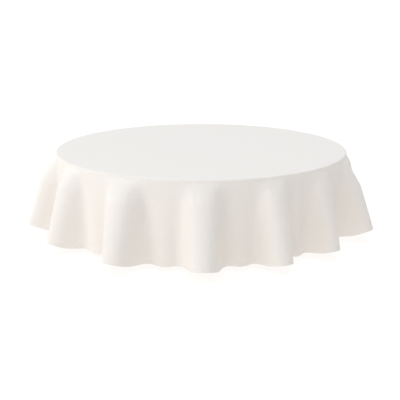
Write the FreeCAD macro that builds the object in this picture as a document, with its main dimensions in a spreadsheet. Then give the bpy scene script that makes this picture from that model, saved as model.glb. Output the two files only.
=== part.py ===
import FreeCAD, Part
import Sketcher
import math
import os
from FreeCAD import Placement, Rotation, Vector

# A low round table under a round tablecloth. Millimetres, +Z up.
# Origin: on the floor, under the middle of the table. The front is -Y.

doc = FreeCAD.newDocument("CoveredTable")
sheet = doc.addObject("Spreadsheet::Sheet", "Sizes")

driving_sizes = {
    # table top
    "top_diameter": 1200,
    "top_thickness": 22,
    "table_height": 320,
    "lipping_thickness": 6,
    "lipping_round": 4,
    # base
    "leg_spacing": 660,
    "leg_side": 52,
    "leg_foot_side": 36,
    "leg_straight": 98,
    "apron_depth": 90,
    "apron_thickness": 20,
    "apron_setback": 6,
    "leg_notch": 12,
    "eased_edge": 1.5,
    "block_height": 60,
    "block_thickness": 28,
    "block_gap": 2,
    "block_screw_depth": 30,
    "block_screw_spread": 18,
    "batten_length": 640,
    "batten_width": 60,
    "batten_thickness": 20,
    "batten_offset": 150,
    "batten_chamfer": 3,
    "bracket_leg": 30,
    "bracket_sheet": 2,
    "bracket_width": 18,
    "bracket_offset": 220,
    "bracket_hole": 4.2,
    "bracket_hole_offset": 19,
    "glide_diameter": 26,
    "glide_height": 6,
    "glide_round": 1.5,
    # hardware
    "bolt_diameter": 8,
    "bolt_hole": 9,
    "bolt_length": 90,
    "bolt_beyond_nut": 4,
    "bolt_point": 8,
    "nut_width": 13,
    "nut_height": 6.5,
    "washer_diameter": 24,
    "washer_thickness": 2,
    "block_screw_diameter": 4.5,
    "block_screw_length": 40,
    "block_screw_head": 8.5,
    "block_screw_head_height": 2.6,
    "batten_screw_diameter": 4,
    "batten_screw_length": 34,
    "batten_screw_head": 7.8,
    "batten_screw_head_height": 2.4,
    "bracket_screw_diameter": 4,
    "bracket_screw_length": 14,
    "bracket_screw_head": 7.6,
    "bracket_screw_head_height": 2.4,
    "nail_recess": 2,
    "nail_diameter": 2.4,
    "nail_length": 27,
    "nail_point": 3,
    "nail_head": 8,
    "nail_head_height": 1.5,
    # cloth
    "cloth_diameter": 1806,
    "cloth_thickness": 1,
    "cloth_gap": 0.3,
    "cloth_side_gap": 1.5,
    "rim_round": 7,
    "fold_reach": 112,
    "valley_reach": 0,
    "hem_width": 14,
    "hem_thickness": 0.8,
    "stitch_inset": 1.5,
    "stitch_width": 1,
    "stitch_gap": 0.1,
    "stitch_thickness": 0.4,
    "label_above_hem": 4,
    "label_width": 36,
    "label_height": 24,
    "label_thickness": 0.4,
}

for row, (alias, value) in enumerate(driving_sizes.items(), start=1):
    sheet.set(f"A{row}", alias)
    sheet.set(f"B{row}", str(value))
    sheet.setAlias(f"B{row}", alias)
doc.recompute()


def size(alias):
    return float(getattr(sheet, alias))


corners = {"front_left": 180, "front_right": 270, "back_right": 0, "back_left": 90}
sides = {"right": 0, "back": 90, "left": 180, "front": 270}
exported = []


def keep(piece, label):
    """Gives a piece its label and marks it to be written as a file."""
    piece.Label = label
    exported.append(piece)
    return piece


# ---------------------------------------------------------------- sketches

def new_body(label, exports=True):
    body = doc.addObject("PartDesign::Body", label + "_body")
    if exports:
        keep(body, label)
    return body


def new_sketch(body, name, plane="XY_Plane", height=None):
    """A sketch on one of the body's own planes, raised by an expression."""
    sketch = body.newObject("Sketcher::SketchObject", name)
    feature = [f for f in body.Origin.OriginFeatures if f.Role == plane][0]
    sketch.AttachmentSupport = [(feature, "")]
    sketch.MapMode = "FlatFace"
    if height:
        sketch.setExpression("AttachmentOffset.Base.z", height)
    return sketch


def constrain(sketch, name, expression, *arguments):
    index = sketch.addConstraint(Sketcher.Constraint(*arguments))
    sketch.renameConstraint(index, name)
    sketch.setExpression("Constraints." + name, expression)


def draw_rectangle(sketch, width, depth, width_now, depth_now):
    """A rectangle centred on the sketch's origin."""
    half_x, half_y = width_now / 2, depth_now / 2
    points = [(-half_x, -half_y), (half_x, -half_y), (half_x, half_y), (-half_x, half_y)]
    points = [Vector(x, y, 0) for x, y in points]
    for start, end in zip(points, points[1:] + points[:1]):
        sketch.addGeometry(Part.LineSegment(start, end))
    for line in range(4):
        sketch.addConstraint(Sketcher.Constraint("Coincident", line, 2, (line + 1) % 4, 1))
    for line in (0, 2):
        sketch.addConstraint(Sketcher.Constraint("Horizontal", line))
    for line in (1, 3):
        sketch.addConstraint(Sketcher.Constraint("Vertical", line))
    sketch.addConstraint(Sketcher.Constraint("Symmetric", 0, 1, 2, 1, -1, 1))
    constrain(sketch, "width", width, "DistanceX", 0, 1, 0, 2, width_now)
    constrain(sketch, "depth", depth, "DistanceY", 1, 1, 1, 2, depth_now)


def draw_circle(sketch, diameter, diameter_now, x=None, y=None):
    """A circle on the origin, or at the two expressions x and y."""
    circle = sketch.addGeometry(Part.Circle(Vector(0, 0, 0), Vector(0, 0, 1), diameter_now / 2))
    constrain(sketch, f"diameter{circle}", diameter, "Diameter", circle, diameter_now)
    if x is None:
        sketch.addConstraint(Sketcher.Constraint("Coincident", circle, 3, -1, 1))
        return
    constrain(sketch, f"across{circle}", x, "DistanceX", -1, 1, circle, 3, 1.0)
    constrain(sketch, f"along{circle}", y, "DistanceY", -1, 1, circle, 3, 1.0)


def pad(body, sketch, length, name="Pad"):
    feature = body.newObject("PartDesign::Pad", name)
    feature.Profile = sketch
    feature.setExpression("Length", length)
    return feature


def ease(body, feature, is_chosen):
    """Rounds the feature's edges whose bounding boxes are chosen, as if sanded."""
    doc.recompute()
    edges = [
        f"Edge{number}" for number, edge in enumerate(feature.Shape.Edges, start=1)
        if is_chosen(edge.BoundBox)]
    softened = body.newObject("PartDesign::Fillet", "EasedEdges")
    softened.Base = (feature, edges)
    softened.setExpression("Radius", "Sizes.eased_edge")


def place(piece, x="0 mm", y="0 mm", z="0 mm", turn=0):
    piece.Placement = Placement(Vector(0, 0, 0), Rotation(Vector(0, 0, 1), turn))
    for axis, expression in zip("xyz", (x, y, z)):
        piece.setExpression(f"Placement.Base.{axis}", expression)


def copies(label, master, placements):
    """A group of identical pieces in one node, each a solid of its own."""
    group = doc.addObject("Part::Feature", label + "_group")
    shapes = []
    for placement in placements:
        shape = master.Shape.copy()
        shape.Placement = placement.multiply(shape.Placement)
        shapes.append(shape)
    group.Shape = Part.makeCompound(shapes)
    return keep(group, label)


def bored(label, blank, *tools):
    """The blank with room cut in it for the hardware that it holds."""
    cut = doc.addObject("Part::Cut", label + "_bored")
    cut.Base = blank
    if len(tools) == 1:
        cut.Tool = tools[0]
    else:
        fuse = doc.addObject("Part::Compound", label + "_tools")
        fuse.Links = list(tools)
        cut.Tool = fuse
    return keep(cut, label)


def turned_piece(label, profile):
    """A solid turned about Z from a list of (radius, height) points."""
    points = [Vector(radius, 0, height) for radius, height in profile]
    face = Part.Face(Part.makePolygon(points + points[:1]))
    piece = doc.addObject("Part::Feature", label)
    piece.Shape = face.revolve(Vector(0, 0, 0), Vector(0, 0, 1), 360)
    return piece


def pointing(position, direction):
    """The placement that stands a turned piece's +Z along direction at position."""
    return Placement(position, Rotation(Vector(0, 0, 1), direction))


# ---------------------------------------------------------------- fasteners

def screw_sizes(name):
    """The screw's shank radius, length, length of its point, head radius and head height."""
    diameter = size(name + "_diameter")
    return (diameter / 2, size(name + "_length"), diameter * 1.2,
            size(name + "_head") / 2, size(name + "_head_height"))


def wood_screw(name):
    """Countersunk screw, its head's flat face at Z 0 and its point towards +Z."""
    radius, length, point, head_radius, head_height = screw_sizes(name)
    return turned_piece(name + "_master", [
        (0, 0), (head_radius, 0), (radius, head_height), (radius, length - point), (0, length)])


def pan_screw(name):
    """Pan head screw, the underside of its head at Z 0 and its point towards +Z."""
    radius, length, point, head_radius, head_height = screw_sizes(name)
    return turned_piece(name + "_master", [
        (0, -head_height), (head_radius * 0.72, -head_height), (head_radius, -head_height * 0.4),
        (head_radius, 0), (radius, 0), (radius, length - point), (0, length)])


block_screw = wood_screw("block_screw")
batten_screw = wood_screw("batten_screw")
bracket_screw = pan_screw("bracket_screw")
glide_nail = turned_piece("glide_nail_master", [
    (0, 0), (size("nail_head") / 2, 0), (size("nail_head") / 2, size("nail_head_height")),
    (size("nail_diameter") / 2, size("nail_head_height")),
    (size("nail_diameter") / 2, size("nail_length") - size("nail_point")),
    (0, size("nail_length"))])

top_underside = size("table_height") - size("top_thickness")
leg_centre = size("leg_spacing") / 2
apron_outer = leg_centre + size("leg_side") / 2 - size("apron_setback")
apron_inner = apron_outer - size("apron_thickness")
apron_middle = top_underside - size("apron_depth") / 2
notch_face = (2 * (leg_centre - size("leg_side") / 2) + size("leg_notch")) / math.sqrt(2)
block_outer = notch_face - size("block_gap")
block_inner = block_outer - size("block_thickness")

# the same distances as expressions, for the pieces that are bound to the sheet
apron_inner_by = "(Sizes.leg_spacing / 2 + Sizes.leg_side / 2 - Sizes.apron_setback - Sizes.apron_thickness)"
block_outer_by = "((Sizes.leg_spacing - Sizes.leg_side + Sizes.leg_notch) / sqrt(2) - Sizes.block_gap)"
block_near_by = f"({block_outer_by} - Sizes.block_thickness) * sqrt(2) - {apron_inner_by}"
block_far_by = f"{block_outer_by} * sqrt(2) - {apron_inner_by}"


def around(turn, x, y, z):
    """A point given for the side or corner at turn 0, turned about Z."""
    return Rotation(Vector(0, 0, 1), turn).multVec(Vector(x, y, z))


# bolts and nuts stand on each corner's diagonal, half way up the corner block
bolt_start = block_inner - size("washer_thickness") - size("nut_height") - size("bolt_beyond_nut")
bolt_radius = size("bolt_diameter") / 2
hanger_bolt = turned_piece("hanger_bolt_master", [
    (0, 0), (bolt_radius - 1, 0), (bolt_radius, 1), (bolt_radius, size("bolt_length") - size("bolt_point")),
    (0, size("bolt_length"))])
washer_blank = turned_piece("washer_master", [
    (size("bolt_hole") / 2, 0), (size("washer_diameter") / 2, 0),
    (size("washer_diameter") / 2, size("washer_thickness")),
    (size("bolt_hole") / 2, size("washer_thickness"))])
nut_blank = doc.addObject("Part::Prism", "nut_blank")
nut_blank.Polygon = 6
nut_blank.setExpression("Circumradius", "Sizes.nut_width / sqrt(3)")
nut_blank.setExpression("Height", "Sizes.nut_height")
nut_bore = doc.addObject("Part::Cylinder", "nut_bore")
nut_bore.setExpression("Radius", "Sizes.bolt_diameter / 2")
nut_bore.setExpression("Height", "Sizes.nut_height")
nut = doc.addObject("Part::Cut", "nut_master")
nut.Base = nut_blank
nut.Tool = nut_bore
doc.recompute()


def on_diagonals(distance):
    """Placements at that distance from the middle, on the four corners' diagonals."""
    spots = []
    for turn in corners.values():
        outward = around(turn + 45, 1, 0, 0)
        spots.append(pointing(outward * distance + Vector(0, 0, apron_middle), outward))
    return spots


hanger_bolts = copies("hanger_bolts", hanger_bolt, on_diagonals(bolt_start))
copies("washers", washer_blank, on_diagonals(block_inner - size("washer_thickness")))
copies("nuts", nut, on_diagonals(block_inner - size("washer_thickness") - size("nut_height")))

# two screws at each end of each corner block, driven square into the aprons
block_screw_spots = []
for turn in corners.values():
    along = (block_outer + block_inner) / 2 * math.sqrt(2) - apron_inner
    for step in (-1, 1):
        z = apron_middle + step * size("block_screw_spread")
        start = apron_inner - size("block_screw_depth")
        block_screw_spots.append(pointing(around(turn, along, start, z), around(turn, 0, 1, 0)))
        block_screw_spots.append(pointing(around(turn, start, along, z), around(turn, 1, 0, 0)))

# four screws through each batten
batten_screw_spots = []
for side in (-1, 1):
    for step in (-1.5, -0.5, 0.5, 1.5):
        x = step * size("batten_length") / 4
        y = side * size("batten_offset")
        z = top_underside - size("batten_thickness")
        batten_screw_spots.append(pointing(Vector(x, y, z), Vector(0, 0, 1)))
batten_screws = copies("batten_screws", batten_screw, batten_screw_spots)

# one screw up into the top and one into the apron at each bracket
bracket_screw_spots = []
for turn in sides.values():
    for along in (-1, 1):
        y = along * size("bracket_offset")
        inset = size("bracket_hole_offset")
        up = around(turn, apron_inner - inset, y, top_underside - size("bracket_sheet"))
        out = around(turn, apron_inner - size("bracket_sheet"), y, top_underside - inset)
        bracket_screw_spots.append(pointing(up, Vector(0, 0, 1)))
        bracket_screw_spots.append(pointing(out, around(turn, 1, 0, 0)))
bracket_screws = copies("bracket_screws", bracket_screw, bracket_screw_spots)

nail_spots = [
    pointing(around(turn, leg_centre, leg_centre, size("nail_recess")), Vector(0, 0, 1))
    for turn in corners.values()]
glide_nails = copies("glide_nails", glide_nail, nail_spots)

# ---------------------------------------------------------------- table top

board = new_body("tabletop_blank", exports=False)
outline = new_sketch(board, "BoardOutline")
core_diameter = size("top_diameter") - 2 * size("lipping_thickness")
draw_circle(outline, "Sizes.top_diameter - 2 * Sizes.lipping_thickness", core_diameter)
pad(board, outline, "Sizes.top_thickness", "BoardPad")
place(board, z="Sizes.table_height - Sizes.top_thickness")
bored("tabletop_board", board, batten_screws, bracket_screws)

lipping = new_body("edge_lipping")
ring = new_sketch(lipping, "LippingRing")
draw_circle(ring, "Sizes.top_diameter", size("top_diameter"))
draw_circle(ring, "Sizes.top_diameter - 2 * Sizes.lipping_thickness", core_diameter)
ring_pad = pad(lipping, ring, "Sizes.top_thickness", "LippingPad")
doc.recompute()
outer_edges = [
    f"Edge{number}" for number, edge in enumerate(ring_pad.Shape.Edges, start=1)
    if edge.BoundBox.XMax > core_diameter / 2 + 1 and edge.BoundBox.ZLength < 0.01]
rounded = lipping.newObject("PartDesign::Fillet", "LippingRound")
rounded.Base = (ring_pad, outer_edges)
rounded.setExpression("Radius", "Sizes.lipping_round")
place(lipping, z="Sizes.table_height - Sizes.top_thickness")

for name, side in (("batten_front", "-"), ("batten_back", "")):
    batten = new_body(name + "_blank", exports=False)
    strip = new_sketch(batten, "BattenOutline")
    draw_rectangle(strip, "Sizes.batten_length", "Sizes.batten_width",
                   size("batten_length"), size("batten_width"))
    strip_pad = pad(batten, strip, "Sizes.batten_thickness", "BattenPad")
    doc.recompute()
    under_edges = [
        f"Edge{number}" for number, edge in enumerate(strip_pad.Shape.Edges, start=1)
        if edge.BoundBox.ZMax < 0.01]
    eased = batten.newObject("PartDesign::Chamfer", "BattenChamfer")
    eased.Base = (strip_pad, under_edges)
    eased.setExpression("Size", "Sizes.batten_chamfer")
    place(batten, y=f"{side}Sizes.batten_offset",
          z="Sizes.table_height - Sizes.top_thickness - Sizes.batten_thickness")
    bored(name, batten, batten_screws)

# ---------------------------------------------------------------- base

block_screws = copies("block_screws", block_screw, block_screw_spots)

for name, turn in corners.items():
    # square down to just under the aprons, then tapering to the foot
    leg = new_body("leg_" + name + "_blank", exports=False)
    shoulder = new_sketch(
        leg, "LegShoulder", height="Sizes.table_height - Sizes.top_thickness - Sizes.leg_straight")
    draw_rectangle(shoulder, "Sizes.leg_side", "Sizes.leg_side", size("leg_side"), size("leg_side"))
    pad(leg, shoulder, "Sizes.leg_straight", "LegTop")
    foot = new_sketch(leg, "LegFoot", height="Sizes.glide_height")
    draw_rectangle(foot, "Sizes.leg_foot_side", "Sizes.leg_foot_side",
                   size("leg_foot_side"), size("leg_foot_side"))
    taper = leg.newObject("PartDesign::AdditiveLoft", "LegTaper")
    taper.Profile = shoulder
    taper.Sections = [(foot, [""])]
    doc.recompute()
    # the inner corner is cut back square to the diagonal, to face the corner block
    notch = new_sketch(leg, "LegNotch", height="Sizes.table_height - Sizes.top_thickness")
    half, notch_now = size("leg_side") / 2, size("leg_notch")
    corner_points = [
        Vector(-half, -half, 0), Vector(-half + notch_now, -half, 0), Vector(-half, -half + notch_now, 0)]
    for start, end in zip(corner_points, corner_points[1:] + corner_points[:1]):
        notch.addGeometry(Part.LineSegment(start, end))
    for line in range(3):
        notch.addConstraint(Sketcher.Constraint("Coincident", line, 2, (line + 1) % 3, 1))
    notch.addConstraint(Sketcher.Constraint("Horizontal", 0))
    notch.addConstraint(Sketcher.Constraint("Vertical", 2))
    constrain(notch, "notch_x", "Sizes.leg_notch", "DistanceX", 0, 1, 0, 2, notch_now)
    constrain(notch, "notch_y", "Sizes.leg_notch", "DistanceY", 0, 1, 1, 2, notch_now)
    constrain(notch, "corner_x", "-Sizes.leg_side / 2", "DistanceX", -1, 1, 0, 1, -half)
    constrain(notch, "corner_y", "-Sizes.leg_side / 2", "DistanceY", -1, 1, 0, 1, -half)
    cutback = leg.newObject("PartDesign::Pocket", "LegCutback")
    cutback.Profile = notch
    cutback.setExpression("Length", "Sizes.leg_straight")
    side_x = "-" if name.endswith("left") else ""
    side_y = "-" if name.startswith("front") else ""
    place(leg, x=f"{side_x}Sizes.leg_spacing / 2", y=f"{side_y}Sizes.leg_spacing / 2", turn=turn)
    bored("leg_" + name, leg, hanger_bolts, glide_nails)

    block = new_body("corner_block_" + name + "_blank", exports=False)
    plan = new_sketch(block, "BlockPlan", height="-Sizes.block_height / 2")
    near = block_inner * math.sqrt(2) - apron_inner
    far = block_outer * math.sqrt(2) - apron_inner
    outline = [(near, apron_inner), (apron_inner, near), (apron_inner, far), (far, apron_inner)]
    outline_by = [
        (block_near_by, apron_inner_by), (apron_inner_by, block_near_by),
        (apron_inner_by, block_far_by), (block_far_by, apron_inner_by)]
    points = [Vector(x, y, 0) for x, y in outline]
    for start, end in zip(points, points[1:] + points[:1]):
        plan.addGeometry(Part.LineSegment(start, end))
    for line, (across_by, along_by) in enumerate(outline_by):
        plan.addConstraint(Sketcher.Constraint("Coincident", line, 2, (line + 1) % 4, 1))
        constrain(plan, f"across{line}", across_by, "DistanceX", -1, 1, line, 1, points[line].x)
        constrain(plan, f"along{line}", along_by, "DistanceY", -1, 1, line, 1, points[line].y)
    pad(block, plan, "Sizes.block_height", "BlockPad")
    bolt_way = block.newObject("PartDesign::SubtractiveCylinder", "BoltWay")
    bolt_way.setExpression("Radius", "Sizes.bolt_hole / 2")
    bolt_way.setExpression("Height", block_outer_by)
    bolt_way.Placement = Placement(Vector(0, 0, 0), Rotation(Vector(0, 0, 1), Vector(1, 1, 0)))
    place(block, z="Sizes.table_height - Sizes.top_thickness - Sizes.apron_depth / 2", turn=turn)
    bored("corner_block_" + name, block, block_screws)

    glide = new_body("glide_" + name + "_blank", exports=False)
    disc = new_sketch(glide, "GlideDisc")
    draw_circle(disc, "Sizes.glide_diameter", size("glide_diameter"))
    disc_pad = pad(glide, disc, "Sizes.glide_height", "GlidePad")
    doc.recompute()
    low_edge = [
        f"Edge{number}" for number, edge in enumerate(disc_pad.Shape.Edges, start=1)
        if edge.BoundBox.ZMax < 0.01]
    soft = glide.newObject("PartDesign::Fillet", "GlideRound")
    soft.Base = (disc_pad, low_edge)
    soft.setExpression("Radius", "Sizes.glide_round")
    place(glide, x=f"{side_x}Sizes.leg_spacing / 2", y=f"{side_y}Sizes.leg_spacing / 2")
    bored("glide_" + name, glide, glide_nails)

apron_length = "Sizes.leg_spacing - Sizes.leg_side"
for name, turn in sides.items():
    apron = new_body("apron_" + name + "_blank", exports=False)
    rail = new_sketch(apron, "ApronPlan")
    draw_rectangle(rail, "Sizes.apron_thickness", apron_length,
                   size("apron_thickness"), size("leg_spacing") - size("leg_side"))
    rail_pad = pad(apron, rail, "Sizes.apron_depth", "ApronPad")
    ease(apron, rail_pad, lambda box: box.YLength > 100 and box.ZMax < 0.01)
    reach = "(Sizes.leg_spacing / 2 + Sizes.leg_side / 2 - Sizes.apron_setback - Sizes.apron_thickness / 2)"
    across = {"right": reach, "left": "-" + reach}.get(name, "0 mm")
    along = {"back": reach, "front": "-" + reach}.get(name, "0 mm")
    place(apron, x=across, y=along, turn=turn,
          z="Sizes.table_height - Sizes.top_thickness - Sizes.apron_depth")
    bored("apron_" + name, apron, block_screws, bracket_screws)

    # two steel angle brackets hold the top to each apron
    for place_name, along_side in (("a", -1), ("b", 1)):
        bracket = new_body(f"bracket_{name}_{place_name}")
        angle = new_sketch(bracket, "AngleProfile", "XZ_Plane")
        leg_long, sheet_now = size("bracket_leg"), size("bracket_sheet")
        corner_outline = [
            (0, 0), (-leg_long, 0), (-leg_long, -sheet_now), (-sheet_now, -sheet_now),
            (-sheet_now, -leg_long), (0, -leg_long)]
        points = [Vector(x, y, 0) for x, y in corner_outline]
        for start, end in zip(points, points[1:] + points[:1]):
            angle.addGeometry(Part.LineSegment(start, end))
        for line in range(6):
            angle.addConstraint(Sketcher.Constraint("Coincident", line, 2, (line + 1) % 6, 1))
            flat = "Horizontal" if line % 2 == 0 else "Vertical"
            angle.addConstraint(Sketcher.Constraint(flat, line))
        angle.addConstraint(Sketcher.Constraint("Coincident", 0, 1, -1, 1))
        constrain(angle, "top_leg", "Sizes.bracket_leg", "DistanceX", 0, 2, 0, 1, leg_long)
        constrain(angle, "side_leg", "Sizes.bracket_leg", "DistanceY", 5, 1, 5, 2, leg_long)
        constrain(angle, "top_sheet", "Sizes.bracket_sheet", "DistanceY", 1, 2, 1, 1, sheet_now)
        constrain(angle, "side_sheet", "Sizes.bracket_sheet", "DistanceX", 4, 1, 4, 2, sheet_now)
        angle_pad = pad(bracket, angle, "Sizes.bracket_width", "AnglePad")
        angle_pad.Midplane = True
        for feature_name, turned in (("TopHole", Rotation()), ("SideHole", Rotation(Vector(0, 1, 0), 90))):
            hole = bracket.newObject("PartDesign::SubtractiveCylinder", feature_name)
            hole.setExpression("Radius", "Sizes.bracket_hole / 2")
            hole.setExpression("Height", "3 * Sizes.bracket_sheet")
            inset = size("bracket_hole_offset")
            upright = feature_name == "TopHole"
            start = Vector(-inset, 0, -2 * sheet_now) if upright else Vector(-2 * sheet_now, 0, -inset)
            hole.Placement = Placement(start, turned)
        spot = around(turn, apron_inner, along_side * size("bracket_offset"), top_underside)
        bracket.Placement = Placement(spot, Rotation(Vector(0, 0, 1), turn))

# ---------------------------------------------------------------- tablecloth

# Where each fold stands, in degrees from the front (-Y) towards the right (+X).
fold_angles = [-72, -51.5, -25.5, 1.2, 24.7, 44.3, 65.5, 95, 118, 140, 165, 188, 213, 236, 259]
squareness = 1.3
crest_narrowing = 0.12
flare_bend = 0.45
lean_onset = 6
edge_radius = size("top_diameter") / 2 + size("cloth_side_gap") + size("cloth_thickness")
cloth_top = size("table_height") + size("cloth_gap") + size("cloth_thickness")
flat_to_rim = edge_radius - size("rim_round") + size("rim_round") * math.pi / 2
drop_length = size("cloth_diameter") / 2 - flat_to_rim
columns_per_fold = 12
row_count = 9


def fold_shape(angle):
    """1 on a fold's crest and 0 midway between two folds, for an angle in degrees."""
    for here, after in zip(fold_angles, fold_angles[1:] + [fold_angles[0] + 360]):
        if here <= angle <= after:
            wave = math.cos(2 * math.pi * (angle - here) / (after - here))
            low = math.tanh(squareness * (1 + crest_narrowing))
            high = math.tanh(squareness * (1 - crest_narrowing))
            return (math.tanh(squareness * (wave - crest_narrowing)) + low) / (high + low)
    raise ValueError(angle)


def cloth_point(angle, down, inward):
    """A point of the drop: down is the length of cloth below the rounded rim.

    Folds flare most just below the rim, and hang straighter towards the hem."""
    share = down / drop_length
    reach = size("valley_reach") + (size("fold_reach") - size("valley_reach")) * fold_shape(angle)
    out = reach * share * (1 + flare_bend - flare_bend * share)
    fall = math.sqrt(down ** 2 - out ** 2)
    slope = reach / drop_length * (1 + flare_bend - 2 * flare_bend * share)
    lean = (1 - (1 - share) ** lean_onset) * math.asin(slope)
    radius = edge_radius + out - inward * math.cos(lean)
    z = cloth_top - size("rim_round") - fall - inward * math.sin(lean)
    turn = math.radians(angle)
    return Vector(radius * math.sin(turn), -radius * math.cos(turn), z)


def fold_columns():
    """Angles round the cloth, evenly spaced within each fold."""
    angles = []
    for here, after in zip(fold_angles, fold_angles[1:] + [fold_angles[0] + 360]):
        angles += [here + (after - here) * step / columns_per_fold for step in range(columns_per_fold)]
    return angles


def cloth_ring(down, inward):
    curve = Part.BSplineCurve()
    curve.interpolate([cloth_point(angle, down, inward) for angle in fold_columns()], PeriodicFlag=True)
    return Part.Wire(curve.toShape())


def drop_skin(first, last, inward):
    """The faces of one side of the drop, from first to last millimetre below the rim."""
    steps = [first + (last - first) * row / (row_count - 1) for row in range(row_count)]
    return Part.makeLoft([cloth_ring(down, inward) for down in steps], False, False)


def edge_strip(down, inward_a, inward_b):
    return Part.makeRuledSurface(cloth_ring(down, inward_a), cloth_ring(down, inward_b))


def closed_solid(faces):
    """Sews faces that meet edge to edge into one solid."""
    shell = Part.makeShell(faces)
    shell.sewShape()
    solid = Part.makeSolid(shell.Shells[0])
    if solid.Volume < 0:
        solid.reverse()
    return solid


def band(first, last, inward_a, inward_b):
    """A closed strip that follows the drop all the way round."""
    faces = drop_skin(first, last, inward_a).Faces + drop_skin(first, last, inward_b).Faces
    faces += edge_strip(first, inward_a, inward_b).Faces + edge_strip(last, inward_a, inward_b).Faces
    return closed_solid(faces)


def rim_ring(bend, inward):
    """A level ring on the rounded rim: bend is 0 at the flat top and 90 where the drop starts."""
    rim, turn = size("rim_round") - inward, math.radians(bend)
    radius = edge_radius - size("rim_round") + rim * math.sin(turn)
    z = cloth_top - size("rim_round") + rim * math.cos(turn)
    angles = [math.radians(angle) for angle in fold_columns()]
    curve = Part.BSplineCurve()
    curve.interpolate([Vector(radius * math.sin(a), -radius * math.cos(a), z) for a in angles],
                      PeriodicFlag=True)
    return Part.Wire(curve.toShape())


def cap_faces(inward):
    """The flat of the cloth with the rounded rim, down to where the drop starts."""
    rim = Part.makeLoft([rim_ring(bend, inward) for bend in (0, 30, 60, 90)], False, False)
    return [Part.Face(rim_ring(0, inward))] + rim.Faces


def patch(middle_angle, width, first, last, inward_a, inward_b):
    """A small rectangle of cloth that lies along the drop."""
    half_turn = math.degrees(width / 2 / edge_radius)
    sections = []
    for step in (-1, -0.5, 0, 0.5, 1):
        angle = middle_angle + step * half_turn
        points = [
            cloth_point(angle, first, inward_a), cloth_point(angle, last, inward_a),
            cloth_point(angle, last, inward_b), cloth_point(angle, first, inward_b)]
        sections.append(Part.makePolygon(points + points[:1]))
    return Part.makeLoft(sections, True, False)


def cloth_piece(label, shape):
    piece = doc.addObject("Part::Feature", label + "_solid")
    piece.Shape = shape
    return keep(piece, label)


thickness = size("cloth_thickness")
inner_face = thickness + size("cloth_gap")
hem_start = drop_length - size("hem_width")
panel_faces = cap_faces(0) + cap_faces(thickness)
panel_faces += drop_skin(0, drop_length, 0).Faces + drop_skin(0, drop_length, thickness).Faces
panel_faces += edge_strip(drop_length, 0, thickness).Faces
cloth_piece("tablecloth_panel", closed_solid(panel_faces))

# the hem is faced inside with a bias strip, sewn with one line of stitches that shows outside
cloth_piece("hem_facing", band(
    hem_start, drop_length, inner_face, inner_face + size("hem_thickness")))
stitch_start = hem_start + size("stitch_inset")
cloth_piece("hem_stitching", band(
    stitch_start, stitch_start + size("stitch_width"),
    -size("stitch_gap"), -size("stitch_gap") - size("stitch_thickness")))

# a blank care label lies inside, just above the hem, half way between two folds at the back
label_angle = (fold_angles[-4] + fold_angles[-3]) / 2
label_low = hem_start - size("label_above_hem")
cloth_piece("care_label", patch(
    label_angle, size("label_width"), label_low - size("label_height"), label_low,
    inner_face, inner_face + size("label_thickness")))

# ---------------------------------------------------------------- checks and files

doc.recompute()
for item in doc.Objects:
    faults = {"Invalid", "Error"} & set(item.State)
    if faults:
        raise RuntimeError(f"{item.Name}: {faults}")
for piece in exported:
    if piece.Shape.isNull() or not piece.Shape.isValid():
        raise RuntimeError(f"{piece.Label} has no valid shape")

os.makedirs("parts", exist_ok=True)
for piece in exported:
    box = piece.Shape.BoundBox
    piece.Shape.exportStep(f"parts/{piece.Label}.step")
    print(f"{piece.Label:24} {len(piece.Shape.Solids):3} solids {piece.Shape.Volume / 1000:9.1f} cm3"
          f"  z {box.ZMin:.1f} to {box.ZMax:.1f}")
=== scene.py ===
import bpy
import math
import time
import numpy as np
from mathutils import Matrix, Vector


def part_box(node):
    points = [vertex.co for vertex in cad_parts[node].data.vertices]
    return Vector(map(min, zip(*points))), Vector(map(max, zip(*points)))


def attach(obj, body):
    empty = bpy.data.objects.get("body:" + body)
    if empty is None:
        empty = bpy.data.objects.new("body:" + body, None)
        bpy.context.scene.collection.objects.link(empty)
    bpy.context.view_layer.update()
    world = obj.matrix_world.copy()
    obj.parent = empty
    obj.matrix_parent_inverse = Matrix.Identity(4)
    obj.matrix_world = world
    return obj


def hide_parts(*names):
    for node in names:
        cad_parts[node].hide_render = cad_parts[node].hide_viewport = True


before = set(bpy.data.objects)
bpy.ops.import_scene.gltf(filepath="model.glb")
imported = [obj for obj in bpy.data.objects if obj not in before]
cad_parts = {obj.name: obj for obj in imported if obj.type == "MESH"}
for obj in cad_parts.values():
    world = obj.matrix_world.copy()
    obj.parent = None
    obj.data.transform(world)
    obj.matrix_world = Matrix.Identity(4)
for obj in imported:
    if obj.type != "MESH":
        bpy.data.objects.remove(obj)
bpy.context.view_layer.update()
started = time.time()
scene = bpy.context.scene


def report(text):
    print(f"{time.time() - started:6.1f} s  {text}", flush=True)


lippingLow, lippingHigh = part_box("edge_lipping")
topRadius = (lippingHigh[0] - lippingLow[0]) / 2
topHeight = lippingHigh[2]

# materials


def hexToLinear(code):
    parts = [int(code[i:i + 2], 16) / 255 for i in (1, 3, 5)]
    linear = [p / 12.92 if p <= 0.04045 else ((p + 0.055) / 1.055) ** 2.4 for p in parts]
    return (*linear, 1.0)


def newMaterial(name):
    material = bpy.data.materials.new(name)
    material.use_nodes = True
    material.node_tree.nodes.clear()
    return material, material.node_tree


def addNode(tree, kind, settings=None, values=None, links=None):
    # settings are the node's own properties, values go on its sockets, links come from other sockets
    node = tree.nodes.new(kind)
    for key, value in (settings or {}).items():
        setattr(node, key, value)
    for key, value in (values or {}).items():
        node.inputs[key].default_value = value
    for key, socket in (links or {}).items():
        tree.links.new(socket, node.inputs[key])
    return node


def addRamp(tree, factor, stops):
    ramp = addNode(tree, "ShaderNodeValToRGB", links={"Fac": factor})
    elements = ramp.color_ramp.elements
    while len(elements) < len(stops):
        elements.new(0.5)
    for element, (position, colour) in zip(elements, stops):
        element.position = position
        element.color = hexToLinear(colour)
    return ramp


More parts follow.
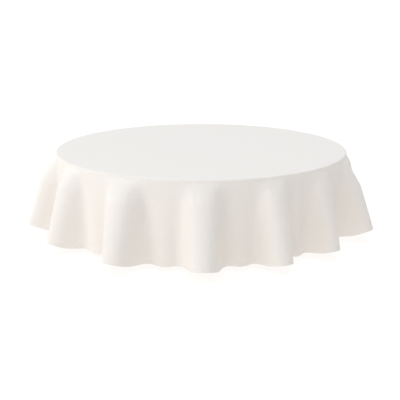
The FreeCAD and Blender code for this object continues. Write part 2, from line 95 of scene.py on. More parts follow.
def finishMaterial(tree, values, links):
    surface = addNode(tree, "ShaderNodeBsdfPrincipled", values=values, links=links)
    addNode(tree, "ShaderNodeOutputMaterial", links={"Surface": surface.outputs["BSDF"]})


linen = {
    "yarn": "#F5EFE8",          # bleached to a warm white
    "slub": "#F2ECE5",          # thicker yarns take a little more shade
    "threadSpacing": 0.0012,    # real yarns lie 0.5 mm apart; drawn coarser so that they show close up
    "slubLength": 0.045,
    "slubWidth": 0.0030,
    "slubRelief": 0.25,         # a slub's height, as a share of the weave's
    "relief": 0.0002,
}


def wovenLinen():
    # Plain-woven linen and cotton, washed: matt, with a faint sheen at grazing angles
    # and slubs along both yarns.
    material, tree = newMaterial("woven_linen_ivory")
    place = addNode(tree, "ShaderNodeUVMap", {"uv_map": "flatCut"}).outputs["UV"]

    def slubs(lengthAxis, seed):
        scale = [1 / linen["slubWidth"], 1 / linen["slubWidth"], 1]
        scale[lengthAxis] = 1 / linen["slubLength"]
        moved = addNode(tree, "ShaderNodeMapping", values={"Scale": scale, "Location": (seed, seed, 0)},
                        links={"Vector": place})
        noise = addNode(tree, "ShaderNodeTexNoise", {"noise_dimensions": "2D"},
                        {"Scale": 1.0, "Detail": 2.0, "Roughness": 0.6}, {"Vector": moved.outputs[0]})
        return noise.outputs[0]

    def yarns(axis):
        wave = addNode(
            tree, "ShaderNodeTexWave",
            {"wave_type": "BANDS", "bands_direction": axis, "wave_profile": "SIN"},
            {"Scale": math.pi / 10 / linen["threadSpacing"], "Distortion": 0.6, "Detail": 1.0,
             "Detail Scale": 0.4},
            {"Vector": place})
        return wave.outputs["Fac"]

    slub = addNode(tree, "ShaderNodeMath", {"operation": "MAXIMUM"},
                   links={0: slubs(0, 3.1), 1: slubs(1, 8.7)}).outputs[0]
    tone = addRamp(tree, slub, [(0.46, linen["yarn"]), (0.74, linen["slub"])])
    weave = addNode(tree, "ShaderNodeMath", {"operation": "MULTIPLY"},
                    links={0: yarns("X"), 1: yarns("Y")}).outputs[0]
    relief = addNode(tree, "ShaderNodeMath", {"operation": "MULTIPLY_ADD"},
                     {1: linen["slubRelief"]}, {0: slub, 2: weave}).outputs[0]
    bump = addNode(tree, "ShaderNodeBump", values={"Strength": 0.25, "Distance": linen["relief"]},
                   links={"Height": relief})
    finishMaterial(
        tree,
        {"Roughness": 0.88, "IOR": 1.5, "Specular IOR Level": 0.25, "Sheen Weight": 0.15,
         "Sheen Roughness": 0.45},
        {"Base Color": tone.outputs["Color"], "Normal": bump.outputs["Normal"]})
    return material


thread = {"colour": "#EDE7DF", "twist": 0.0006}


def spunThread():
    # Three-ply spun polyester, close to the linen's colour, with its twist just showing.
    material, tree = newMaterial("spun_polyester_thread")
    place = addNode(tree, "ShaderNodeTexCoord").outputs["Object"]
    twist = addNode(tree, "ShaderNodeTexNoise", values={"Scale": 1 / thread["twist"], "Detail": 1.0},
                    links={"Vector": place})
    tone = addRamp(tree, twist.outputs[0], [(0.3, "#DDD6CD"), (0.7, thread["colour"])])
    bump = addNode(tree, "ShaderNodeBump", values={"Strength": 0.3, "Distance": 0.0001},
                   links={"Height": twist.outputs[0]})
    finishMaterial(tree, {"Roughness": 0.6, "Sheen Weight": 0.2},
                   {"Base Color": tone.outputs["Color"], "Normal": bump.outputs["Normal"]})
    return material


label = {"colour": "#F7F6F2", "rib": 0.0004}


def satinTape():
    # Woven satin label tape, blank: smooth, with a soft gloss across its fine ribs.
    material, tree = newMaterial("satin_label_tape")
    place = addNode(tree, "ShaderNodeTexCoord").outputs["Object"]
    rib = addNode(tree, "ShaderNodeTexWave", {"bands_direction": "Z"},
                  {"Scale": math.pi / 10 / label["rib"], "Distortion": 0.2}, {"Vector": place})
    tone = addRamp(tree, rib.outputs["Fac"], [(0.0, "#EDEBE6"), (1.0, label["colour"])])
    bump = addNode(tree, "ShaderNodeBump", values={"Strength": 0.2, "Distance": 0.00008},
                   links={"Height": rib.outputs["Fac"]})
    finishMaterial(tree, {"Roughness": 0.42, "Sheen Weight": 0.1},
                   {"Base Color": tone.outputs["Color"], "Normal": bump.outputs["Normal"]})
    return material


beech = {
    "early": "#D3AE82",
    "late": "#BF9366",
    "fleck": "#A97B51",
    "ringWidth": 0.0035,
    "grainLength": 0.16,
    "fleckWidth": 0.0009,
    "fleckLength": 0.006,
}


def lacqueredBeech(name, grainAxis):
    # Steamed beech under satin lacquer: pinkish tan, faint rings, short dark ray flecks along the grain.
    material, tree = newMaterial(name)
    place = addNode(tree, "ShaderNodeTexCoord").outputs["Object"]
    if grainAxis == "around":
        # a bent strip: its grain runs round the edge of the top
        parts = addNode(tree, "ShaderNodeSeparateXYZ", links={0: place}).outputs
        turn = addNode(tree, "ShaderNodeMath", {"operation": "ARCTAN2"},
                       links={0: parts[1], 1: parts[0]}).outputs[0]
        length = addNode(tree, "ShaderNodeMath", {"operation": "MULTIPLY"},
                         {1: topRadius}, {0: turn}).outputs[0]
        flat = addNode(tree, "ShaderNodeVectorMath", {"operation": "MULTIPLY"},
                       {1: (1, 1, 0)}, {0: place}).outputs[0]
        radius = addNode(tree, "ShaderNodeVectorMath", {"operation": "LENGTH"}, links={0: flat}).outputs[1]
        place = addNode(tree, "ShaderNodeCombineXYZ",
                        links={0: length, 1: radius, 2: parts[2]}).outputs[0]
        grainAxis = 0

    def grain(width, length, detail, distortion):
        scale = [1 / width] * 3
        scale[grainAxis] = 1 / length
        moved = addNode(tree, "ShaderNodeMapping", values={"Scale": scale}, links={"Vector": place})
        return addNode(tree, "ShaderNodeTexNoise",
                       values={"Scale": 1.0, "Detail": detail, "Distortion": distortion},
                       links={"Vector": moved.outputs[0]}).outputs[0]

    rings = grain(beech["ringWidth"] * 4, beech["grainLength"] * 2, 3.0, 0.4)
    wood = addRamp(tree, rings, [(0.35, beech["late"]), (0.62, beech["early"])])
    flecks = grain(beech["fleckWidth"], beech["fleckLength"], 1.0, 0.0)
    mask = addNode(tree, "ShaderNodeMapRange", values={"From Min": 0.62, "From Max": 0.74},
                   links={"Value": flecks})
    tone = addNode(tree, "ShaderNodeMix", {"data_type": "RGBA"}, {7: hexToLinear(beech["fleck"])},
                   {0: mask.outputs[0], 6: wood.outputs["Color"]})
    bump = addNode(tree, "ShaderNodeBump", values={"Strength": 0.15, "Distance": 0.0003},
                   links={"Height": rings})
    finishMaterial(tree, {"Roughness": 0.38, "IOR": 1.5, "Coat Weight": 0.15, "Coat Roughness": 0.25},
                   {"Base Color": tone.outputs[2], "Normal": bump.outputs["Normal"]})
    return material


def zincPlate():
    # Bright zinc plate on steel: bluish grey metal, a little cloudy.
    material, tree = newMaterial("zinc_plated_steel")
    place = addNode(tree, "ShaderNodeTexCoord").outputs["Object"]
    cloud = addNode(tree, "ShaderNodeTexNoise", values={"Scale": 180.0, "Detail": 3.0},
                    links={"Vector": place})
    tone = addRamp(tree, cloud.outputs[0], [(0.3, "#B3B7BC"), (0.7, "#CDD0D3")])
    rough = addNode(tree, "ShaderNodeMapRange", values={"To Min": 0.28, "To Max": 0.45},
                    links={"Value": cloud.outputs[0]})
    finishMaterial(tree, {"Metallic": 1.0},
                   {"Base Color": tone.outputs["Color"], "Roughness": rough.outputs[0]})
    return material


def mouldedNylon():
    # Natural nylon, injection moulded: creamy, slightly waxy, with a fine matt grain.
    material, tree = newMaterial("moulded_nylon")
    place = addNode(tree, "ShaderNodeTexCoord").outputs["Object"]
    grain = addNode(tree, "ShaderNodeTexNoise", values={"Scale": 900.0, "Detail": 2.0},
                    links={"Vector": place})
    tone = addRamp(tree, grain.outputs[0], [(0.3, "#DAD3C4"), (0.7, "#E6E0D3")])
    bump = addNode(tree, "ShaderNodeBump", values={"Strength": 0.2, "Distance": 0.00005},
                   links={"Height": grain.outputs[0]})
    finishMaterial(tree, {"Roughness": 0.5, "IOR": 1.53},
                   {"Base Color": tone.outputs["Color"], "Normal": bump.outputs["Normal"]})
    return material


linenCloth = wovenLinen()
stitchThread = spunThread()
labelTape = satinTape()

# tablecloth

cloth = {
    "cutRadius": 0.903,         # a round cut, laid centred on the top
    "thickness": 0.0007,
    "rimRound": 0.0070,         # how sharply the cloth's outer face turns over the lipping
    "topGap": 0.0003,           # between the cloth and the top
    "sideGap": 0.0015,          # between the cloth and the lipping
    # where each fold stands, in degrees from the front (-Y) towards +X
    "foldAngles": [-72, -51.5, -25.5, 1.2, 24.7, 44.3, 65.5, 95, 118, 140, 165, 188, 213, 236, 259],
    "foldFullness": [1.11, 1.08, 1.02, 1.01, 1.04, 1.08, 1.13, 1, 1, 1, 1, 1, 1, 1, 1],
    "foldSquareness": 1.6,      # how steep a fold's flanks are against its crest and its hollows
    "crestNarrowing": 0.3,     # above 0, crests are narrower than the hollows between them
    "steepestFlare": 0.62,      # how far a crest can stand out for each metre that hangs
    "hollowClearance": 0.001,   # the hollows hang this far outside the rim
    "innermostRow": 0.08,       # the smallest ring of the mesh that hangs
    "topRows": 8,
    "rimRows": 3,
    "dropRows": 24,
    "heldDropRows": 2,          # these stay as first hung, next to the rim
    "columnsPerFold": 28,
    "settleFrames": 16,
    "contact": 0.001,           # how near the settling cloth comes to what it meets
}
foldCount = len(cloth["foldAngles"])
columnCount = foldCount * cloth["columnsPerFold"]
crests = np.radians(cloth["foldAngles"])
hollowsAfter = (crests + np.append(crests[1:], crests[0] + 2 * math.pi)) / 2
hollowsBefore = np.append(hollowsAfter[-1] - 2 * math.pi, hollowsAfter[:-1])

# each column of the mesh is one straight line of yarn positions from the middle to the hem
columnAngles = np.concatenate([
    np.linspace(low, high, cloth["columnsPerFold"], endpoint=False)
    for low, high in zip(hollowsBefore, hollowsAfter)])
outward = np.stack([np.sin(columnAngles), -np.cos(columnAngles)], 1)

rimStart = topRadius + cloth["sideGap"] + cloth["thickness"] - cloth["rimRound"]
rimLength = cloth["rimRound"] * math.pi / 2
dropStart = rimStart + rimLength
dropLength = cloth["cutRadius"] - dropStart
sheetHeight = topHeight + cloth["topGap"] + cloth["thickness"]
hollowRadius = rimStart + cloth["rimRound"] + cloth["hollowClearance"]


def foldRing(fold, down):
    # one fold's outline at that distance below the rim, with the length of cloth that is there
    low, high, crest = hollowsBefore[fold], hollowsAfter[fold], crests[fold]
    share = down / dropLength
    innerRadius = rimStart + cloth["rimRound"] + cloth["hollowClearance"] * min(1, 6 * share)
    wanted = (dropStart + down) * (high - low) * (1 + (cloth["foldFullness"][fold] - 1) * share)
    square, narrow = cloth["foldSquareness"], cloth["crestNarrowing"]
    lowest = math.tanh(square * (1 + narrow))
    span = lowest + math.tanh(square * (1 - narrow))

    def outline(angles, reach):
        half = np.where(angles < crest, crest - low, high - crest)
        wave = np.cos(math.pi * (angles - crest) / half)
        radius = innerRadius + reach * (np.tanh(square * (wave - narrow)) + lowest) / span
        return np.stack([radius * np.sin(angles), -radius * np.cos(angles)], 1)

    fine = np.linspace(low, high, 600)
    least, most = 0.0, cloth["steepestFlare"] * down
    # halving the range finds the reach whose outline is as long as the cloth there
    for attempt in range(30):
        reach = (least + most) / 2
        steps = np.linalg.norm(np.diff(outline(fine, reach), axis=0), axis=1)
        if steps.sum() > wanted:
            most = reach
        else:
            least = reach
    along = np.concatenate([[0], np.cumsum(steps)])
    even = np.linspace(0, along[-1], cloth["columnsPerFold"], endpoint=False)
    return outline(np.interp(even, along, fine), reach)


def restingRow(cutRadius):
    # the flat of the cloth, and its turn over the rim, which the folds don't reach
    bend = min(max(0, cutRadius - rimStart) / cloth["rimRound"], math.pi / 2)
    radius = min(cutRadius, rimStart) + cloth["rimRound"] * math.sin(bend)
    height = sheetHeight - cloth["rimRound"] * (1 - math.cos(bend))
    return np.column_stack([outward * radius, np.full(columnCount, height)])


def hangingStart():
    # rows of points from the middle out to the hem: as cut, and as first hung
    cut, hung = [], []

    def addRow(cutRadius, row):
        cut.append(np.column_stack([outward * cutRadius, np.full(columnCount, sheetHeight)]))
        hung.append(row)

    rimShares = np.arange(1, cloth["rimRows"] + 1) / cloth["rimRows"]
    flatRows = np.linspace(cloth["innermostRow"], rimStart, cloth["topRows"])
    for radius in [*flatRows, *(rimStart + rimLength * rimShares)]:
        addRow(radius, restingRow(radius))
    step = dropLength / cloth["dropRows"]
    points, heights = hung[-1][:, :2], hung[-1][:, 2]
    for row in range(1, cloth["dropRows"] + 1):
        down = row * step
        rings = np.concatenate([foldRing(fold, down) for fold in range(foldCount)])
        sideways = np.linalg.norm(rings - points, axis=1)
        heights = heights - np.sqrt(np.maximum(step ** 2 - sideways ** 2, (0.25 * step) ** 2))
        points = rings
        addRow(dropStart + down, np.column_stack([points, heights]))
    return np.array(cut), np.array(hung)


def gridFaces(rows, columns):
    faces = []
    for row in range(rows - 1):
        for column in range(columns):
            after = (column + 1) % columns
            low, high = row * columns, (row + 1) * columns
            faces.append((low + column, high + column, high + after, low + after))
    return faces


def makeObject(name, points, faces, material=None, smooth=True):
    # a mesh object from points and faces, in the frame's own place
    mesh = bpy.data.meshes.new(name)
    mesh.from_pydata(np.asarray(points).reshape(-1, 3).tolist(), [], faces)
    mesh.validate()
    mesh.update()
    mesh.polygons.foreach_set("use_smooth", [smooth] * len(mesh.polygons))
    piece = bpy.data.objects.new(name, mesh)
    scene.collection.objects.link(piece)
    if material:
        mesh.materials.append(material)
    return piece


def settleCloth(cut, hung):
    # gravity, stiffness and the table's edge settle the folds from the first hang
    rows = len(hung)
    trial = makeObject("hanging_cloth_trial", hung, gridFaces(rows, columnCount))
    trial.shape_key_add(name="Basis")
    flatKey = trial.shape_key_add(name="cut")
    flatKey.data.foreach_set("co", cut.ravel())
    held = trial.vertex_groups.new(name="held")
    heldRows = rows - cloth["dropRows"] + cloth["heldDropRows"]
    held.add(list(range(heldRows * columnCount)), 1.0, "REPLACE")

    solver = trial.modifiers.new("Cloth", "CLOTH")
    fabric = solver.settings
    fabric.quality = 8
    fabric.mass = 0.05
    fabric.air_damping = 4
    fabric.bending_model = "ANGULAR"
    fabric.tension_stiffness = fabric.compression_stiffness = 80
    fabric.shear_stiffness = 20
    fabric.bending_stiffness = 4
    fabric.tension_damping = fabric.compression_damping = fabric.shear_damping = 5
    fabric.bending_damping = 0.5
    fabric.vertex_group_mass = "held"
    fabric.rest_shape_key = flatKey
    solver.collision_settings.distance_min = cloth["contact"]
    solver.collision_settings.use_self_collision = False
    solver.point_cache.frame_start = 1
    solver.point_cache.frame_end = cloth["settleFrames"]

    # a sleeve as wide as the top keeps the hollows from swinging in under it
    sleeveTop, sleeveFoot = topHeight - 0.014, -0.004
    bpy.ops.mesh.primitive_cylinder_add(
        vertices=360, radius=hollowRadius - 2 * cloth["contact"], depth=sleeveTop - sleeveFoot,
        end_fill_type="NOTHING", location=(0, 0, (sleeveTop + sleeveFoot) / 2))
    sleeve = bpy.context.object
    sleeve.modifiers.new("Collision", "COLLISION")
    sleeve.collision.thickness_outer = cloth["contact"]

    scene.frame_start, scene.frame_end = 1, cloth["settleFrames"]
    for step in range(1, cloth["settleFrames"] + 1):
        scene.frame_set(step)
    settled = trial.evaluated_get(bpy.context.evaluated_depsgraph_get()).to_mesh()
    points = np.empty(len(settled.vertices) * 3)
    settled.vertices.foreach_get("co", points)
    for done in (trial, sleeve):
        bpy.data.objects.remove(done, do_unlink=True)
    scene.frame_set(1)
    return points.reshape(rows, columnCount, 3)


cutRows, hungRows = hangingStart()
hungRows = settleCloth(cutRows, hungRows)
report(f"cloth hung in {foldCount} folds")
rowRadii = np.linalg.norm(cutRows[:, 0, :2], axis=1)


def smoothBetween(before, here, after, beyond, share, gaps):
    # cubic Hermite between here and after, for unevenly spaced neighbours
    first, middle, last = gaps
    tangentHere = ((here - before) / first * middle + (after - here) / middle * first) / (first + middle)
    tangentAfter = ((after - here) / middle * last + (beyond - after) / last * middle) / (middle + last)
    s2, s3 = share ** 2, share ** 3
    return ((2 * s3 - 3 * s2 + 1) * here + (s3 - 2 * s2 + share) * middle * tangentHere
            + (3 * s2 - 2 * s3) * after + (s3 - s2) * middle * tangentAfter)


def clothRow(cutRadius):
    # the ring of the hung cloth at that distance from the cut's middle, one point to a column
    if cutRadius <= rimStart + rimLength * 2 / 3:
        return restingRow(cutRadius)
    index = int(np.clip(np.searchsorted(rowRadii, cutRadius) - 1, 0, len(rowRadii) - 2))
    low, high = max(index - 1, 0), min(index + 2, len(rowRadii) - 1)
    middle = rowRadii[index + 1] - rowRadii[index]
    first = rowRadii[index] - rowRadii[low] or middle
    last = rowRadii[high] - rowRadii[index + 1] or middle
    here, after = hungRows[index], hungRows[index + 1]
    before = hungRows[low] if low != index else 2 * here - after
    beyond = hungRows[high] if high != index + 1 else 2 * after - here
    share = (cutRadius - rowRadii[index]) / middle
    return smoothBetween(before, here, after, beyond, share, (first, middle, last))


def doubled(ring):
    # twice as many points round a ring, on a smooth curve through the ones there are
    before, after = np.roll(ring, 1, 0), np.roll(ring, -1, 0)
    between = (9 * (ring + after) - before - np.roll(ring, -2, 0)) / 16
    return np.stack([ring, between], 1).reshape(-1, ring.shape[1])


hem = {
    "width": 0.014,
    "stitchInset": 0.0015,      # the stitches run this far inside the hem's upper edge
    "fullness": 0.00030,        # how far the doubled edge stands proud
    "fullnessStart": 0.0005,    # below the stitches
    "fullnessSoftness": 0.0012,
    "pull": 0.00028,            # how far the stitches draw the cloth in
    "pullWidth": 0.0009,
    "pucker": 0.00016,
    "puckerWidth": 0.006,
    "puckerWaves": range(300, 391, 7),    # round the whole hem
    "bandThickness": 0.0006,
    "bandGap": 0.00005,
}
stitchRadius = cloth["cutRadius"] - hem["width"] + hem["stitchInset"]


def finalRadii():
    radii = list(np.linspace(0.02, rimStart - 0.004, 26))
    radii += list(np.linspace(rimStart - 0.002, dropStart, 9))
    hemTop = cloth["cutRadius"] - hem["width"] - 0.006
    radii += list(np.linspace(dropStart, hemTop, 52))[1:]
    radii += list(np.arange(hemTop + 0.001, cloth["cutRadius"], 0.00075))
    return np.array(radii + [cloth["cutRadius"]])


radii = finalRadii()
surface = np.array([doubled(clothRow(radius)) for radius in radii])
finalColumns = surface.shape[1]
finalAngles = doubled(np.unwrap(columnAngles)[:, None])[:, 0]
finalAngles[-1] = (finalAngles[-2] + finalAngles[0] + 2 * math.pi) / 2
finalOutward = np.stack([np.sin(finalAngles), -np.cos(finalAngles)], 1)


def gridNormals(points):
    # outward normals of the hung cloth, row by row
    along = np.roll(points, -1, 1) - np.roll(points, 1, 1)
    down = np.gradient(points, axis=0)
    normals = np.cross(along, down)
    normals *= np.sign(normals[3, 0, 2])
    return normals / np.linalg.norm(normals, axis=2, keepdims=True)


normals = gridNormals(surface)


def smoothNoise(count, waves, seed):
    # a periodic wavy line of that many points, between about -1 and 1
    dice = np.random.default_rng(seed)
    turn = np.linspace(0, 2 * math.pi, count, endpoint=False)
    total = sum(dice.normal() * np.cos(wave * turn + dice.uniform(0, 7)) for wave in waves)
    return total / np.abs(total).max()


# the turned edge stands a little proud, and puckers slightly where it is sewn
fromStitch = radii - stitchRadius
groove = -hem["pull"] * np.exp(-(fromStitch / hem["pullWidth"]) ** 2)
edge = hem["fullness"] * (1 + np.tanh((fromStitch - hem["fullnessStart"]) / hem["fullnessSoftness"])) / 2
pucker = smoothNoise(finalColumns, hem["puckerWaves"], 5)
puckerReach = hem["pucker"] * np.exp(-(fromStitch / hem["puckerWidth"]) ** 2)
surface = surface + normals * (groove + edge)[:, None, None]
surface = surface + normals * (puckerReach[:, None] * pucker[None, :])[:, :, None]
normals = gridNormals(surface)


def closedSheet(name, outer, inner, material, uvRadii=None, cap=False):
    # two skins joined along their edges; a cap closes the middle of both
    rows, columns = outer.shape[0], outer.shape[1]
    count = rows * columns
    points = np.concatenate([outer.reshape(-1, 3), inner.reshape(-1, 3)])
    front = gridFaces(rows, columns)
    faces = front + [tuple(count + v for v in reversed(face)) for face in front]
    for column in range(columns):
        after = (column + 1) % columns
        last = (rows - 1) * columns
        faces.append((last + column, count + last + column, count + last + after, last + after))
        if not cap:
            faces.append((column, after, count + after, count + column))
    if cap:
        faces.append(tuple(range(columns)))
        faces.append(tuple(count + v for v in reversed(range(columns))))
    piece = makeObject(name, points, faces, material)
    if uvRadii is not None:
        flat = (finalOutward[None, :, :] * uvRadii[:, None, None]).reshape(-1, 2)
        flat = np.concatenate([flat, flat])
        layer = piece.data.uv_layers.new(name="flatCut")
        corners = np.empty(len(piece.data.loops), dtype=np.int32)
        piece.data.loops.foreach_get("vertex_index", corners)
        layer.data.foreach_set("uv", flat[corners].ravel())
    return piece


panel = closedSheet("tablecloth_cloth", surface, surface - normals * cloth["thickness"],
                    linenCloth, radii, cap=True)
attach(panel, "tablecloth")
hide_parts("tablecloth_panel")

# the bias strip that faces the hem, inside
bandRows = radii >= cloth["cutRadius"] - hem["width"] - 1e-6
bandOuter = (surface - normals * (cloth["thickness"] + hem["bandGap"]))[bandRows]
bandInner = (surface - normals * (cloth["thickness"] + hem["bandThickness"]))[bandRows]
band = closedSheet("hem_facing_strip", bandOuter, bandInner, linenCloth, radii[bandRows])
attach(band, "tablecloth")
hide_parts("hem_facing")
report("cloth and hem meshed")

# stitches

stitch = {"pitch": 0.0030, "length": 0.0024, "radius": 0.00020, "sides": 6}


def stitchMesh(path, facing, closed=True):
    # short rounded stitches laid end to end along a path, each half sunk in the cloth
    steps = np.linalg.norm(np.diff(np.vstack([path, path[:1]]) if closed else path, axis=0), axis=1)
    along = np.concatenate([[0], np.cumsum(steps)])
    ring = np.vstack([path, path[:1]]) if closed else path
    sides = np.vstack([facing, facing[:1]]) if closed else facing
    count = int(along[-1] / stitch["pitch"])
    pitch = along[-1] / count
    starts = (np.arange(count) + 0.5) * pitch

    def at(values, distance):
        return np.stack([np.interp(distance, along, values[:, axis]) for axis in range(3)], 1)

    middle = at(ring, starts)
    ahead = at(ring, starts + pitch / 4) - at(ring, starts - pitch / 4)
    ahead /= np.linalg.norm(ahead, axis=1, keepdims=True)
    up = at(sides, starts)
    up -= ahead * (up * ahead).sum(1, keepdims=True)
    up /= np.linalg.norm(up, axis=1, keepdims=True)
    across = np.cross(ahead, up)
    half = stitch["length"] / 2
    # along the stitch, its width there and how far it stands out
    profile = [(-1.0, 0.0, -0.9), (-0.86, 0.75, -0.35), (-0.4, 1.0, 0.1),
               (0.4, 1.0, 0.1), (0.86, 0.75, -0.35), (1.0, 0.0, -0.9)]
    sidesCount = stitch["sides"]
    turns = np.linspace(0, 2 * math.pi, sidesCount, endpoint=False)
    offsets = []
    for position, width, lift in profile:
        for turn in (turns if width else turns[:1]):
            offsets.append((position * half, width * math.cos(turn), width * math.sin(turn) + lift))
    offsets = np.array(offsets)
    points = (middle[:, None, :]
              + ahead[:, None, :] * offsets[None, :, 0:1]
              + across[:, None, :] * offsets[None, :, 1:2] * stitch["radius"]
              + up[:, None, :] * offsets[None, :, 2:3] * stitch["radius"])
    one = []
    for side in range(sidesCount):
        after = (side + 1) % sidesCount
        one.append((0, 1 + after, 1 + side))
        for ringIndex in range(3):
            low = 1 + ringIndex * sidesCount
            one.append((low + side, low + after, low + sidesCount + after, low + sidesCount + side))
        low = 1 + 3 * sidesCount
        one.append((low + side, low + after, low + sidesCount))
    faces = []
    for number in range(count):
        base = number * len(offsets)
        faces += [tuple(base + v for v in face) for face in one]
    return points.reshape(-1, 3), faces


stitchRow = int(np.argmin(np.abs(radii - stitchRadius)))
outerPath = surface[stitchRow]
outerPoints, outerFaces = stitchMesh(outerPath, normals[stitchRow])
innerPath = surface[stitchRow] - normals[stitchRow] * (cloth["thickness"] + hem["bandThickness"])
innerPoints, innerFaces = stitchMesh(innerPath, -normals[stitchRow])
stitches = makeObject(
    "hem_stitches", np.concatenate([outerPoints, innerPoints]),
    outerFaces + [tuple(len(outerPoints) + v for v in face) for face in innerFaces], stitchThread)
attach(stitches, "tablecloth")
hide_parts("hem_stitching")
report(f"{(len(outerFaces) + len(innerFaces)) // 30} stitches sewn")

# care label, blank

careLabel = {"width": 0.036, "height": 0.024, "above": 0.004, "thickness": 0.0003, "gap": 0.0002}


def labelPatch():
    # the grid of cloth that the label covers, half way between two folds at the back, and its facing
    crestBefore, crestAfter = cloth["foldAngles"][-4], cloth["foldAngles"][-3]
    middle = math.radians((crestBefore + crestAfter) / 2)
    high = cloth["cutRadius"] - hem["width"] - careLabel["above"]
    cutRadii = np.linspace(high - careLabel["height"], high, 13)
    column = int(np.argmin(np.abs(finalAngles - middle)))
    ring = doubled(clothRow(high))
    reach = 0.0
    span = [column]
    while reach < careLabel["width"]:
        left, right = span[0] - 1, span[-1] + 1
        reach += np.linalg.norm(ring[left] - ring[span[0]]) + np.linalg.norm(ring[right] - ring[span[-1]])
        span = [left] + span + [right]
    rows = np.array([doubled(clothRow(radius))[span] for radius in cutRadii])
    across = np.gradient(rows, axis=1)
    down = np.gradient(rows, axis=0)
    facing = np.cross(across, down)
    facing /= np.linalg.norm(facing, axis=2, keepdims=True)
    if (facing[6, len(span) // 2] * rows[6, len(span) // 2])[:2].sum() > 0:
        facing = -facing
    return rows, facing


patchRows, patchFacing = labelPatch()
near = patchRows + patchFacing * (cloth["thickness"] + careLabel["gap"])
far = near + patchFacing * careLabel["thickness"]
rowCount, spanCount = near.shape[:2]


def plateFaces(rows, columns):
    # the faces of a thin plate whose two skins are grids, joined round their rims
    count = rows * columns
    skin = [(r * columns + c, r * columns + c + 1, (r + 1) * columns + c + 1, (r + 1) * columns + c)
            for r in range(rows - 1) for c in range(columns - 1)]
    faces = skin + [tuple(count + v for v in reversed(face)) for face in skin]
    rim = list(range(columns))
    rim += [r * columns + columns - 1 for r in range(1, rows)]
    rim += [(rows - 1) * columns + c for c in range(columns - 2, -1, -1)]
    rim += [r * columns for r in range(rows - 2, 0, -1)]
    for here, after in zip(rim, rim[1:] + rim[:1]):
        faces.append((after, here, count + here, count + after))
    return faces


labelPiece = makeObject("care_label_blank", np.concatenate([near.reshape(-1, 3), far.reshape(-1, 3)]),
                        plateFaces(rowCount, spanCount), labelTape)
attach(labelPiece, "tablecloth")
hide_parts("care_label")


def insetRim(grid):
    # the points one step in from a grid's edge, in order round it
    return np.concatenate([
        grid[1, 1:-1], grid[1:-1, -2][1:], grid[-2, 1:-1][::-1][1:], grid[1:-1, 1][::-1][1:]])


rimPoints, rimFaces = stitchMesh(insetRim(far), insetRim(patchFacing), closed=False)
labelStitches = makeObject("care_label_stitches", rimPoints, rimFaces, stitchThread)
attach(labelStitches, "tablecloth")

# table

grainAlong = {
    "X": lacqueredBeech("lacquered_beech_along_x", 0),
    "Y": lacqueredBeech("lacquered_beech_along_y", 1),
    "Z": lacqueredBeech("lacquered_beech_along_z", 2),
    "around": lacqueredBeech("lacquered_beech_lipping", "around"),
}
zinc = zincPlate()
nylon = mouldedNylon()


def materialFor(node):
    if node.startswith(("glide_front", "glide_back")):
        return nylon
    if node.startswith("leg_"):
        return grainAlong["Z"]
    if node.startswith(("apron_left", "apron_right")):
        return grainAlong["Y"]
    if node == "edge_lipping":
        return grainAlong["around"]
    if node.startswith(("apron_", "corner_block", "tabletop_board")):
        return grainAlong["X"]
    if node in ("batten_front", "batten_back"):
        return grainAlong["X"]
    return zinc


clothNodes = ("tablecloth_panel", "hem_facing", "hem_stitching", "care_label")
for node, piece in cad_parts.items():
    if node in clothNodes:
        continue
    material = materialFor(node)
    if not piece.material_slots:
        piece.data.materials.append(material)
    for slot in piece.material_slots:
        slot.material = material
report("table finished in beech, zinc and nylon")

# floor, light and camera

studio = {
    "floor": "#6E6E6E",
    "floorFibre": "#6A6A6A",
    "floorGlow": 0.91,          # lit from below, so that it stays white to the horizon
    "floorTint": (1.0, 0.985, 0.97, 1),
    "floorReach": 40.0,
    "floorGap": 0.0005,
    "sky": 1.88,
    # white at the horizon, dimmer above it, and bright again overhead
    "skyStops": [(0.18, "#C5C5C5"), (0.34, "#666666"), (0.62, "#909192"), (0.80, "#F0F5FB"),
                 (1.0, "#F4F9FF")],
    "darkSide": (0.94, -0.34, 0),   # a dark wall stands to the right
    "darkSideLight": 0.14,
    "keyPower": 31.0,
    "keyPlace": (-3.8, -1.7, 2.3),
    "keySize": 1.8,
}


def paleFloor():
    # Pale grey paper over a glowing panel: matt, with a faint fibre.
    material, tree = newMaterial("studio_floor_paper")
    place = addNode(tree, "ShaderNodeTexCoord").outputs["Object"]
    fibre = addNode(tree, "ShaderNodeTexNoise", values={"Scale": 60.0, "Detail": 2.0},
                    links={"Vector": place})
    tone = addRamp(tree, fibre.outputs[0], [(0.3, studio["floorFibre"]), (0.7, studio["floor"])])
    finishMaterial(tree, {"Roughness": 0.95, "Emission Color": studio["floorTint"],
                          "Emission Strength": studio["floorGlow"], "Specular IOR Level": 0.1},
                   {"Base Color": tone.outputs["Color"]})
    return material


reach = studio["floorReach"]
floorCorners = [(-reach, -reach, 0), (reach, -reach, 0), (reach, reach, 0), (-reach, reach, 0)]
floor = makeObject("studio_floor", floorCorners, [(0, 1, 2, 3)], paleFloor(), smooth=False)
floor.location.z = -studio["floorGap"]

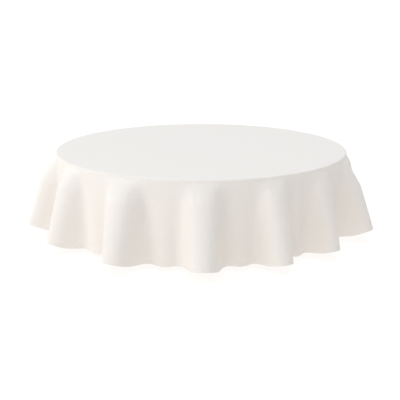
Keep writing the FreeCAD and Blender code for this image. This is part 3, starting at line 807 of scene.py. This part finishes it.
sky = bpy.data.worlds.new("studio_sky")
sky.use_nodes = True
skyTree = sky.node_tree
skyTree.nodes.clear()
direction = addNode(skyTree, "ShaderNodeTexCoord").outputs["Generated"]
rise = addNode(skyTree, "ShaderNodeSeparateXYZ", links={0: direction}).outputs[2]
skyTone = addRamp(skyTree, rise, studio["skyStops"])
towardsDark = addNode(skyTree, "ShaderNodeVectorMath", {"operation": "DOT_PRODUCT"},
                      {1: studio["darkSide"]}, {0: direction}).outputs["Value"]
# the dark side stops short of the horizon, which stays white all round
aboveHorizon = addNode(skyTree, "ShaderNodeMapRange", values={"From Min": 0.06, "From Max": 0.14},
                       links={"Value": rise}).outputs[0]
darkness = addNode(skyTree, "ShaderNodeMath", {"operation": "MULTIPLY"},
                   links={0: towardsDark, 1: aboveHorizon}).outputs[0]
skyPower = addNode(skyTree, "ShaderNodeMapRange",
                   values={"To Min": studio["sky"], "To Max": studio["sky"] * studio["darkSideLight"]},
                   links={"Value": darkness})
skyLight = addNode(skyTree, "ShaderNodeBackground",
                   links={"Color": skyTone.outputs["Color"], "Strength": skyPower.outputs[0]})
addNode(skyTree, "ShaderNodeOutputWorld", links={"Surface": skyLight.outputs[0]})
scene.world = sky

key = bpy.data.lights.new("key_softbox", "AREA")
key.size = studio["keySize"]
key.energy = studio["keyPower"]
keyObject = bpy.data.objects.new("key_softbox", key)
scene.collection.objects.link(keyObject)
keyObject.location = studio["keyPlace"]
aim = Vector((0, 0, topHeight * 0.6)) - keyObject.location
keyObject.rotation_euler = aim.to_track_quat("-Z", "Y").to_euler()
scene.view_settings.view_transform = "Standard"

camera = {
    "distance": 4.0,            # from the middle of the top, in radii of the top
    "height": 0.765,            # above the top, in radii of the top
    "downTilt": 16.27,          # degrees
    "lens": 51.4,
    "sensor": 36.0,
    "shift": -0.0025,
}
cameraData = bpy.data.cameras.new("camera")
cameraData.sensor_width = camera["sensor"]
cameraData.lens = camera["lens"]
cameraData.shift_x = camera["shift"]
cameraObject = bpy.data.objects.new("camera", cameraData)
scene.collection.objects.link(cameraObject)
cameraObject.location = (0, -camera["distance"] * topRadius, topHeight + camera["height"] * topRadius)
cameraObject.rotation_euler = (math.radians(90 - camera["downTilt"]), 0, 0)
scene.camera = cameraObject

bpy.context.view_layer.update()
report("scene ready")
